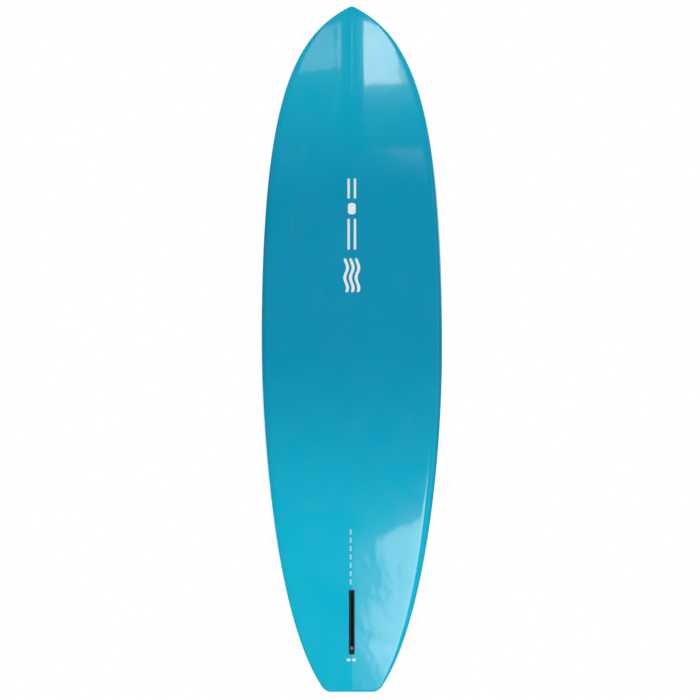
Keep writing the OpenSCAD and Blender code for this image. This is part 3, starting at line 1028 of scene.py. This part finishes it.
@dataclass
class Hull:
    """The painted skins and the foam sheets under them, with openings for the fittings."""

    lines: HullLines
    openings: dict[Side, Callable[[], list[bmesh.types.BMesh]]]
    columns: int = 300
    rows: int = 104
    skin: float = 1.6 * MM
    foam: float = 3 * MM

    def inward(self, p: Vector, side: Side, depth: float) -> Vector:
        """A point of one side, moved into the board by a depth, but not past the rail line.

        Args:
            p: the point.
            side: bottom or deck.
            depth: how far it moves.

        Returns:
            The moved point.
        """
        s = self.lines.share(p.x)
        rail = self.lines.rail(s)
        w = max(self.lines.half_width(p.x), 2 * depth)
        z = p.z
        if abs(z - rail) > 1e-6:
            z = min(z + depth, rail) if side is Side.BOTTOM else max(z - depth, rail)
        return Vector((p.x * (1 - 2 * depth / self.lines.length), p.y * (1 - depth / w), z))

    def sheet(self, side: Side, start: float, thickness: float) -> bmesh.types.BMesh:
        """A closed layer of one side, without its openings.

        Args:
            side: bottom or deck.
            start: depth of its outer face below the surface.
            thickness: how thick it is.

        Returns:
            The layer.
        """
        surface = self.lines.bottom_point if side is Side.BOTTOM else self.lines.deck_point
        mesh = mapped_grid(self.columns, self.rows,
                           lambda u, v: surface(self.lines.station(u), 2 * v - 1))
        for x in (-self.lines.length / 2, self.lines.length / 2):
            loop = [e for e in mesh.edges if e.is_boundary
                    and all(abs(v.co.x - x) < 1e-6 for v in e.verts)]
            bmesh.ops.contextual_create(mesh, geom=loop)
        if start:
            for vertex in mesh.verts:
                vertex.co = self.inward(vertex.co.copy(), side, start)
        thicken(mesh, lambda p: self.inward(p, side, thickness))
        bmesh.ops.dissolve_degenerate(mesh, dist=1e-7, edges=mesh.edges[:])
        return mesh

    def paint_rails(self, piece: bpy.types.Object, material: bpy.types.Material) -> None:
        """Carries the bottom's colour round the rails, onto the edge of the deck.

        Args:
            piece: the deck's skin.
            material: the bottom's paint.
        """
        piece.data.materials.append(material)
        for face in piece.data.polygons:
            x, y, _ = face.center
            w = self.lines.section(round(x, 4)).half_width
            if abs(y) > w - min(self.lines.rail_band, 0.35 * w):
                face.material_index = 1

    def build(self, side: Side, paint: bpy.types.Material, foam: bpy.types.Material,
              rails: Optional[bpy.types.Material] = None) -> None:
        """Makes the painted skin of one side and the foam sheet under it.

        Args:
            side: bottom or deck.
            paint: its paint.
            foam: the foam sheet's finish.
            rails: paint of the rails, where it differs.
        """
        layers = (
            (side.value + "_skin", "painted_" + side.value, 0.0, self.skin, paint),
            (side.value + "_sandwich", "foam_sheet_" + side.value, self.skin, self.foam, foam),
        )
        for node, name, start, thickness, material in layers:
            piece = make_object(name, self.sheet(side, start, thickness), material)
            carve(piece, self.openings[side]())
            finish_shading(piece, material, 32.0)
            if rails is not None and start == 0.0:
                self.paint_rails(piece, rails)
            adopt(piece, BOARD, node)


# ---------------------------------------------------------------- openings and fittings


@dataclass(frozen=True)
class Seat:
    """Where a fitting sits: a point on the hull and its pitch, with +Z out of or into the board."""

    place: Vector
    pitch: float = 0.0

    def matrix(self) -> Matrix:
        """Matrix from the fitting's own frame to the board's."""
        return Matrix.Translation(self.place) @ Matrix.Rotation(self.pitch, 4, "Y")


@dataclass
class FinBox:
    """Long black fin box with its slot, its end caps and the brass plate and steel screw."""

    lines: HullLines
    length: float = 288 * MM
    width: float = 25.4 * MM
    corner: float = 5 * MM
    depth: float = 30 * MM
    gap: float = 167 * MM
    slot: float = 258 * MM
    cap_gap: float = 1.2 * MM
    softness: float = 0.5 * MM

    def seat(self) -> Seat:
        """Middle of the mouth, on the keel, with +Z into the board.

        Returns:
            The seat.
        """
        x = self.gap + self.length / 2 - self.lines.length / 2
        ahead, behind = (self.lines.keel(self.lines.share(x + d)) for d in (0.02, -0.02))
        z = self.lines.keel(self.lines.share(x))
        return Seat(Vector((x, 0.0, z)), math.atan((behind - ahead) / 0.04))

    def opening(self) -> bmesh.types.BMesh:
        """The hole that the box needs in the bottom skin.

        Returns:
            The cutter.
        """
        outline = round_outline(self.length + 2 * CLEARANCE, self.width + 2 * CLEARANCE,
                                self.corner)
        return prism(outline, -30 * MM, self.depth, self.seat().matrix())

    def build(self, finishes: Finishes) -> None:
        """Makes the box with its darker end caps, and rounds the plate and the screw.

        Args:
            finishes: the board's finishes.
        """
        mesh = rounded_copy("fin_box", self.softness, 3)
        turn = self.seat().matrix()
        for end in (-1, 1):
            cut = turn @ Vector((end * (self.slot / 2 + self.cap_gap), 0.0, 0.0))
            bmesh.ops.bisect_plane(mesh, geom=mesh.verts[:] + mesh.edges[:] + mesh.faces[:],
                                   plane_co=cut, plane_no=turn.to_3x3() @ Vector((1, 0, 0)))
        back = turn.inverted()
        for face in mesh.faces:
            x = (back @ face.calc_center_median()).x
            face.material_index = 1 if abs(x) > self.slot / 2 + self.cap_gap else 0
        piece = make_object("fin_box_fine", mesh, finishes.rim_plastic)
        piece.data.materials.append(finishes.black)
        adopt(piece, BOARD, "fin_box")
        refined("fin_plate", "fin_plate", finishes.brass, 0.4 * MM)
        refined("fin_washer", "fin_washer", finishes.steel, 0.15 * MM)
        refined("fin_screw", "fin_screw", finishes.steel, 0.3 * MM)


@dataclass
class DeckFittings:
    """Handle, vent, leash plug and threaded inserts, let into the deck."""

    lines: HullLines
    flush: float = 0.4 * MM
    handle_length: float = 190 * MM
    handle_width: float = 106 * MM
    handle_corner: float = 52 * MM
    vent_place: tuple[float, float] = (564 * MM, 80 * MM)
    vent_radius: float = 16.5 * MM
    leash_place: float = -1440 * MM
    leash_radius: float = 20 * MM
    insert_radius: float = 9 * MM
    insert_x: tuple[float, float] = (654 * MM, 874 * MM)
    insert_y: float = 190 * MM
    reach: float = 20 * MM

    def seat(self, x: float, y: float) -> Seat:
        """A point a little above the deck."""
        return Seat(Vector((x, y, self.lines.deck_height(x, y) + self.flush)))

    def leash_seat(self) -> Seat:
        """Mouth of the leash plug, pitched with the deck.

        Returns:
            The seat.
        """
        x = self.leash_place
        rise = self.lines.deck_height(x - 0.01, 0.0) - self.lines.deck_height(x + 0.01, 0.0)
        return Seat(self.seat(x, 0.0).place, math.atan(rise / 0.02))

    def round_hole(self, radius: float, seat: Seat) -> bmesh.types.BMesh:
        """Round cutter about a seat's axis.

        Args:
            radius: its radius.
            seat: where it cuts.

        Returns:
            The cutter.
        """
        outline = [(radius * math.cos(a), radius * math.sin(a))
                   for a in (2 * math.pi * i / 96 for i in range(96))]
        return prism(outline, -self.reach, self.reach, seat.matrix())

    def handle_hole(self, margin: float, low: float, high: float) -> bmesh.types.BMesh:
        """Cutter round the handle's rim, wider by a margin.

        Args:
            margin: how much wider than the rim it is.
            low: its lower height from the deck.
            high: its upper height from the deck.

        Returns:
            The cutter.
        """
        outline = round_outline(self.handle_length + 2 * margin, self.handle_width + 2 * margin,
                                self.handle_corner + margin, 24)
        return prism(outline, low, high, self.seat(0.0, 0.0).matrix())

    def openings(self) -> list[bmesh.types.BMesh]:
        """The holes that the fittings need in the deck skin.

        Returns:
            The cutters.
        """
        holes = [self.round_hole(self.vent_radius + CLEARANCE, self.seat(*self.vent_place)),
                 self.round_hole(self.leash_radius + CLEARANCE, self.leash_seat()),
                 self.handle_hole(CLEARANCE, -self.reach, self.reach)]
        radius = self.insert_radius + CLEARANCE
        holes += [self.round_hole(radius, self.seat(x, side * self.insert_y))
                  for x in self.insert_x for side in (-1, 1)]
        return holes

    def build(self, finishes: Finishes) -> None:
        """Rounds every fitting and gives it its finish.

        Args:
            finishes: the board's finishes.
        """
        refined("handle_cup", BOARD, finishes.black, 0.8 * MM, 3)
        self.build_grip(finishes.grey)
        refined("handle_screws", BOARD, finishes.steel, 0.25 * MM)
        refined("vent_housing", BOARD, finishes.grey, 0.35 * MM)
        refined("vent_plug", "vent_plug", finishes.black, 0.35 * MM)
        refined("leash_cup", BOARD, finishes.black, 0.8 * MM, 3)
        refined("leash_bar", BOARD, finishes.steel, 0.3 * MM)
        refined("tie_inserts", BOARD, finishes.brass, 0.3 * MM)

    def build_grip(self, material: bpy.types.Material) -> None:
        """Grip bar with rounded edges and a row of shallow cross grooves under the palm.

        Args:
            material: its finish.
        """
        piece = refined("handle_grip", BOARD, material, 2.6 * MM, 4)
        low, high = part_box("handle_grip")
        cutters = []
        for i in range(-7, 8):
            ring = bmesh.new()
            bmesh.ops.create_cone(ring, cap_ends=True, segments=24, radius1=1.1 * MM,
                                  radius2=1.1 * MM, depth=high.y - low.y + 8 * MM)
            bmesh.ops.rotate(ring, cent=(0, 0, 0), matrix=Matrix.Rotation(math.pi / 2, 3, "X"),
                             verts=ring.verts[:])
            bmesh.ops.translate(ring, vec=(i * 6.4 * MM, 0.0, high.z + 0.45 * MM),
                                verts=ring.verts[:])
            cutters.append(ring)
        carve(piece, cutters)
        finish_shading(piece, material, 32.0)


@dataclass
class DeckPads:
    """Grooved foam sheets glued to the deck, with the arched kick pad at the tail."""

    lines: HullLines
    fittings: DeckFittings
    thick: float = 5 * MM
    pitch: float = 22 * MM
    groove: float = 3.2 * MM
    groove_depth: float = 2.2 * MM
    border: float = 15 * MM
    column: float = 7 * MM
    share: float = 0.794
    corner: float = 16 * MM
    overhang: float = 1 * MM
    glue: float = 0.02 * MM
    handle_gap: float = 4 * MM
    kick_rise: float = 22 * MM
    tread: float = 0.9 * MM

    def edge(self, x: float) -> float:
        """Half width of the pads at x."""
        return self.share * self.lines.half_width(x)

    def stripes(self, reach: float) -> list[tuple[float, bool]]:
        """Places across the board where the sheet's rows lie, and whether each is in a groove.

        Args:
            reach: half width that the rows span.

        Returns:
            The places and whether each is sunk.
        """
        rows = []
        count = int(reach / self.pitch) + 1
        for i in range(-count, count + 1):
            middle = i * self.pitch
            half, wall = self.groove / 2, 0.5 * MM
            rows += [(middle - half - wall, False), (middle - half, True),
                     (middle + half, True), (middle + half + wall, False),
                     (middle + self.pitch / 2, False)]
        return [(min(max(y, -reach), reach), deep) for y, deep in rows]

    def outline(self, back: float, front: float) -> Outline:
        """Outline of a sheet seen from above, with rounded corners at its ends.

        Args:
            back: its rear end.
            front: its front end.

        Returns:
            The outline.
        """
        right = []
        steps = 60
        for i in range(steps + 1):
            x = back + (front - back) * smooth(i / steps)
            near = min(x - back, front - x)
            right.append((x, self.edge(x) - rounded(self.corner, near)))
        return [(x, -y) for x, y in right] + [(x, y) for x, y in reversed(right)]

    def build_sheet(self, node: str, material: bpy.types.Material,
                    hole: Optional[bmesh.types.BMesh] = None) -> None:
        """Makes one grooved sheet in the place of a CAD pad.

        Args:
            node: the CAD pad.
            material: its foam.
            hole: solid to cut out of it.
        """
        low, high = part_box(node)
        back, front = low.x, high.x
        rows = self.stripes(max(high.y, -low.y) + 2 * self.overhang)
        columns = int((front - back) / self.column)

        def top(u: float, v: float) -> Vector:
            """Point of the upper face, sunk in the grooves.

            Args:
                u: share of the length, from the rear.
                v: share of the rows, from starboard.

            Returns:
                The point.
            """
            x = back + (front - back) * u
            y, deep = rows[min(round(v * (len(rows) - 1)), len(rows) - 1)]
            inside = (self.edge(x) - abs(y) > self.border
                      and min(x - back, front - x) > self.border)
            if hole is not None and self.near_handle(x, y):
                inside = False
            sunk = self.groove_depth if deep and inside else 0.0
            y = min(max(y, -self.edge(x) - self.overhang), self.edge(x) + self.overhang)
            return Vector((x, y, self.lines.deck_height(x, y) + self.thick - sunk))

        mesh = mapped_grid(columns, len(rows) - 1, top)
        thicken(mesh, lambda p: Vector((p.x, p.y, self.lines.deck_height(p.x, p.y) + self.glue)))
        bmesh.ops.dissolve_degenerate(mesh, dist=1e-6, edges=mesh.edges[:])
        piece = make_object(node + "_grooved", mesh, material)
        carve(piece, [prism(self.outline(back, front), low.z - 0.05, high.z + 0.05)], "INTERSECT")
        if hole is not None:
            carve(piece, [hole])
        finish_shading(piece, material, 28.0)
        adopt(piece, BOARD, node)

    def near_handle(self, x: float, y: float) -> bool:
        """Whether a point lies on the flat border round the handle.

        Args:
            x: place along the board.
            y: place across the board.

        Returns:
            True inside that border.
        """
        run = self.fittings.handle_length / 2 - self.fittings.handle_width / 2
        reach = self.fittings.handle_width / 2 + self.border
        return math.hypot(max(abs(x) - run, 0.0), y) < reach

    def build_kick(self, material: bpy.types.Material) -> None:
        """Makes the kick pad: an arch with cross ridges that dies away at both sides.

        Args:
            material: its foam.
        """
        low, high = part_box("kick_pad")
        columns = 84

        def top(u: float, v: float) -> Vector:
            """Point of the arch, with its cross ridges.

            Args:
                u: share of the length, from the rear.
                v: share of the width, from starboard.

            Returns:
                The point.
            """
            x = low.x + (high.x - low.x) * u
            y = (2 * v - 1) * self.edge(x)
            arch = math.sin(math.pi * min(max(0.36 + 0.64 * u, 0.0), 1.0)) ** 0.9
            arch *= 1 - 0.55 * abs(2 * v - 1) ** 3
            cut = 0.08 < u < 0.8 and abs(2 * v - 1) < 0.88 and int(u * columns) % 6 < 2
            return Vector((x, y, self.lines.deck_height(x, y) + self.thick
                           + max(self.kick_rise * arch - (self.tread if cut else 0), 0.6 * MM)))

        mesh = mapped_grid(columns, 60, top)
        thicken(mesh, lambda p: Vector(
            (p.x, p.y, self.lines.deck_height(p.x, p.y) + self.thick - 0.3 * MM)))
        piece = make_object("kick_pad_arch", mesh, material, 40.0)
        soften(piece, 1.2 * MM, 60.0)
        finish_shading(piece, material, 30.0)
        adopt(piece, BOARD, "kick_pad")

    def build(self, finishes: Finishes) -> None:
        """Makes the three sheets and the kick pad.

        Args:
            finishes: the board's finishes.
        """
        self.build_sheet("deck_pad_rear", finishes.pad)
        self.build_sheet("deck_pad_middle", finishes.pad,
                         self.fittings.handle_hole(self.handle_gap, -60 * MM, 60 * MM))
        self.build_sheet("deck_pad_front", finishes.pad)
        self.build_kick(finishes.kick)


@dataclass(frozen=True)
class Film:
    """One thin film on the bottom: a strip along the board between two curves."""

    name: str
    back: float
    front: float
    left: Callable[[float], float]
    right: Callable[[float], float]
    columns: int = 60
    rows: int = 8


class Mark(Enum):
    """Generic marks on the bottom, each a plain figure with no lettering."""

    BARS = "bars"
    WAVES = "waves"
    DASHES = "dashes"
    LABELS = "labels"


@dataclass
class Decals:
    """Printed films on the bottom, conformed to it."""

    lines: HullLines
    proud: float = 0.18 * MM
    sink: float = 0.1 * MM
    tip: float = 0.15 * MM
    wave_back: float = 245 * MM
    wave_length: float = 158 * MM
    wave_width: float = 13 * MM

    def capsule(self, name: str, back: float, front: float, middle: float, width: float,
                ends: float = 1.0) -> Film:
        """A bar with rounded ends, along the board.

        Args:
            name: name of the film.
            back: its rear end.
            front: its front end.
            middle: its centre line, across the board.
            width: its width.
            ends: length of each rounded end, as a share of half its width.

        Returns:
            The film.
        """
        reach = width / 2 * ends

        def half(u: float) -> float:
            """Half width of the bar.

            Args:
                u: share of its length.

            Returns:
                The half width.
            """
            near = min(u, 1 - u) * (front - back)
            if near >= reach:
                return width / 2
            return max(width / 2 * math.sqrt(max(1 - (1 - near / reach) ** 2, 0.0)), self.tip)

        return Film(name, back, front, lambda u: middle - half(u), lambda u: middle + half(u))

    def films(self, mark: Mark) -> list[Film]:
        """The films that a mark is made of.

        Args:
            mark: the mark.

        Returns:
            Its films.
        """
        if mark is Mark.BARS:
            spans = ((437, 575, 14), (437, 575, -14), (594, 645, 0), (664, 754, 14),
                     (664, 754, -14))
            return [self.capsule(f"film_bar_{i}", a * MM, b * MM, m * MM,
                                 (34 if m == 0 else 10) * MM, 0.6)
                    for i, (a, b, m) in enumerate(spans)]
        if mark is Mark.WAVES:
            return [self.wave(i, (i - 1) * 25 * MM) for i in range(3)]
        if mark is Mark.DASHES:
            return [self.capsule(f"film_dash_{i}", (-1046 + 37 * i) * MM, (-1022 + 37 * i) * MM,
                                 -5 * MM, 8 * MM, 0.8) for i in range(7)]
        return [self.capsule(f"film_label_{i}", -1387 * MM, -1375 * MM, m * MM, w * MM, 0.3)
                for i, (m, w) in enumerate(((-14, 17), (10, 14)))]

    def wave(self, number: int, middle: float) -> Film:
        """One of three wavy stripes side by side.

        Args:
            number: its number, from starboard.
            middle: its centre line, across the board.

        Returns:
            The film.
        """
        def half(u: float) -> float:
            """Half width of the stripe, round at both ends.

            Args:
                u: share of its length.

            Returns:
                The half width.
            """
            near = min(u, 1 - u) * self.wave_length
            return max(rounded(0.5, 0.5 - min(near / (14 * MM), 0.5)) * self.wave_width, self.tip)

        def line(u: float) -> float:
            """Centre line of the stripe."""
            return middle + 6 * MM * math.sin(3.5 * math.pi * u)

        return Film(f"film_wave_{number}", self.wave_back, self.wave_back + self.wave_length,
                    lambda u: line(u) - half(u), lambda u: line(u) + half(u), 90, 6)

    def build_film(self, film: Film, material: bpy.types.Material) -> None:
        """Lays one film on the bottom.

        Args:
            film: the film.
            material: its finish.
        """
        def point(u: float, v: float) -> Vector:
            """Point of the film's outer face.

            Args:
                u: share of its length.
                v: share of its width.

            Returns:
                The point.
            """
            x = film.back + (film.front - film.back) * u
            y = film.left(u) + (film.right(u) - film.left(u)) * v
            return Vector((x, y, self.lines.bottom_height(x, abs(y)) - self.proud))

        mesh = mapped_grid(film.columns, film.rows, point)
        thicken(mesh, lambda p: Vector((p.x, p.y, p.z + self.proud + self.sink)))
        piece = make_object(film.name, mesh, material, 50.0)
        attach(piece, BOARD)
        LOG.info("%s: %d faces, rides on %s", piece.name, len(piece.data.polygons), BOARD)

    def build(self, finishes: Finishes) -> None:
        """Lays every mark.

        Args:
            finishes: the board's finishes.
        """
        for mark in Mark:
            shade = finishes.pale_film if mark is Mark.DASHES else finishes.white_film
            for film in self.films(mark):
                self.build_film(film, shade)


class InnerLayers:
    """The foam, wood and blocks inside the skins, and the small seal, kept as CAD made them."""

    def build(self, finishes: Finishes) -> None:
        """Gives each carried-over node its finish.

        Args:
            finishes: the board's finishes.
        """
        chosen = {
            "core_port": finishes.light_foam, "core_starboard": finishes.light_foam,
            "stringer": finishes.wood, "vent_seal": finishes.rubber,
        }
        for block in ("nose", "tail", "fin_box", "vent", "leash", "handle"):
            chosen[block + "_block"] = finishes.dense_foam
        for node, material in chosen.items():
            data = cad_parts[node].data
            data.materials.clear()
            data.materials.append(material)
            LOG.info("%s: CAD node in %s", node, material.name)


# ---------------------------------------------------------------- studio


@dataclass(frozen=True)
class Softbox:
    """One area light, unseen by the camera, that faces straight up unless it is given an aim."""

    name: str
    place: tuple[float, float, float]
    size: tuple[float, float]
    glow: float
    twist: float = 0.0
    aim: Optional[tuple[float, float, float]] = None

    def build(self) -> bpy.types.Object:
        """Makes the light; its power follows from its size, so that glow is how bright it looks.

        Returns:
            The light.
        """
        data = bpy.data.lights.new(self.name, "AREA")
        data.shape = "RECTANGLE"
        data.size, data.size_y = self.size
        data.energy = self.glow * math.pi * self.size[0] * self.size[1]
        lamp = bpy.data.objects.new(self.name, data)
        bpy.context.scene.collection.objects.link(lamp)
        if self.aim is None:
            turn = (Matrix.Rotation(math.radians(self.twist), 4, "Z")
                    @ Matrix.Rotation(math.pi, 4, "X"))
        else:
            towards = Vector(self.aim) - Vector(self.place)
            turn = towards.to_track_quat("-Z", "Y").to_matrix().to_4x4()
        lamp.matrix_world = Matrix.Translation(self.place) @ turn
        lamp.visible_camera = False
        return lamp


@dataclass
class Studio:
    """Pale floor, soft lights above and below, and the camera that looks at the bottom."""

    distance: float = 20.0
    frame_height: float = 3.097
    centre: tuple[float, float] = (-0.0067, -0.0080)
    surroundings: float = 0.88
    mirrored: float = 0.0

    def softboxes(self) -> list[Softbox]:
        """Every light of the studio.

        Returns:
            The lights.
        """
        middle = (0.0, 0.0, 0.1)
        return [
            Softbox("nose_port_box", (3.34, 0.55, -5.0), (0.86, 0.30), 8.0),
            Softbox("nose_starboard_box", (3.40, -0.62, -5.0), (0.62, 0.26), 2.2),
            Softbox("tail_box", (-2.07, 1.44, -5.0), (1.8, 1.6), 4.1, -27.0),
            Softbox("side_strip", (0.0, 5.0, -1.6), (5.0, 1.0), 0.35, aim=middle),
            Softbox("key_above", (-1.6, -2.6, 4.2), (3.0, 2.4), 2.2, aim=middle),
            Softbox("fill_above", (1.8, 3.0, 4.0), (3.0, 2.0), 1.1, aim=middle),
        ]

    def build_world(self) -> None:
        """White backdrop that lights evenly and looks dim in the gloss."""
        world = bpy.data.worlds.new("studio")
        bpy.context.scene.world = world
        world.use_nodes = True
        world.cycles.sampling_method = "NONE"
        tree = world.node_tree
        tree.nodes.clear()
        path = tree.nodes.new("ShaderNodeLightPath")
        levels = tree.nodes.new("ShaderNodeMix")
        levels.inputs[2].default_value = self.surroundings
        levels.inputs[3].default_value = self.mirrored
        tree.links.new(path.outputs["Is Glossy Ray"], levels.inputs[0])
        seen = tree.nodes.new("ShaderNodeMix")
        tree.links.new(path.outputs["Is Camera Ray"], seen.inputs[0])
        tree.links.new(levels.outputs[0], seen.inputs[2])
        seen.inputs[3].default_value = 1.0
        glow = tree.nodes.new("ShaderNodeBackground")
        tree.links.new(seen.outputs[0], glow.inputs["Strength"])
        output = tree.nodes.new("ShaderNodeOutputWorld")
        glow.inputs["Color"].default_value = (1.0, 1.0, 1.0, 1.0)
        tree.links.new(glow.outputs[0], output.inputs["Surface"])

    def build_floor(self) -> None:
        """Floor under the board, which neither shades nor mirrors in its bottom."""
        mesh = bmesh.new()
        bmesh.ops.create_grid(mesh, x_segments=2, y_segments=2, size=14.0)
        floor = make_object("studio_floor", mesh, StudioFloor().build())
        floor.visible_shadow = False
        floor.visible_glossy = False
        floor.visible_diffuse = False

    def build_camera(self) -> None:
        """Camera straight below the board, with the nose at the top of the frame."""
        data = bpy.data.cameras.new("camera")
        data.sensor_width = 36.0
        data.lens = data.sensor_width * self.distance / self.frame_height
        data.clip_end = 200.0
        camera = bpy.data.objects.new("camera", data)
        bpy.context.scene.collection.objects.link(camera)
        across, up, back = Vector((0, 1, 0)), Vector((1, 0, 0)), Vector((0, 0, -1))
        turn = Matrix((across, up, back)).transposed().to_4x4()
        camera.matrix_world = Matrix.Translation((*self.centre, -self.distance)) @ turn
        bpy.context.scene.camera = camera

    def build(self) -> None:
        """Sets up the whole studio."""
        self.build_world()
        self.build_floor()
        for box in self.softboxes():
            box.build()
        self.build_camera()
        bpy.context.scene.view_settings.view_transform = "Standard"


def main() -> None:
    """Builds the board from its hull outwards, then the studio."""
    logging.basicConfig(level=logging.INFO, format="%(name)s %(message)s")
    low, high = CAD_BOX
    lines = HullLines(length=high.x - low.x, width=high.y - low.y)
    finishes = Finishes()
    fin_box = FinBox(lines)
    fittings = DeckFittings(lines)
    hull = Hull(lines, {Side.BOTTOM: lambda: [fin_box.opening()], Side.DECK: fittings.openings})
    hull.build(Side.BOTTOM, finishes.bottom, finishes.sandwich)
    hull.build(Side.DECK, finishes.deck, finishes.sandwich, finishes.bottom)
    fin_box.build(finishes)
    fittings.build(finishes)
    DeckPads(lines, fittings).build(finishes)
    Decals(lines).build(finishes)
    InnerLayers().build(finishes)
    Studio().build()


if __name__ == "__main__":
    main()
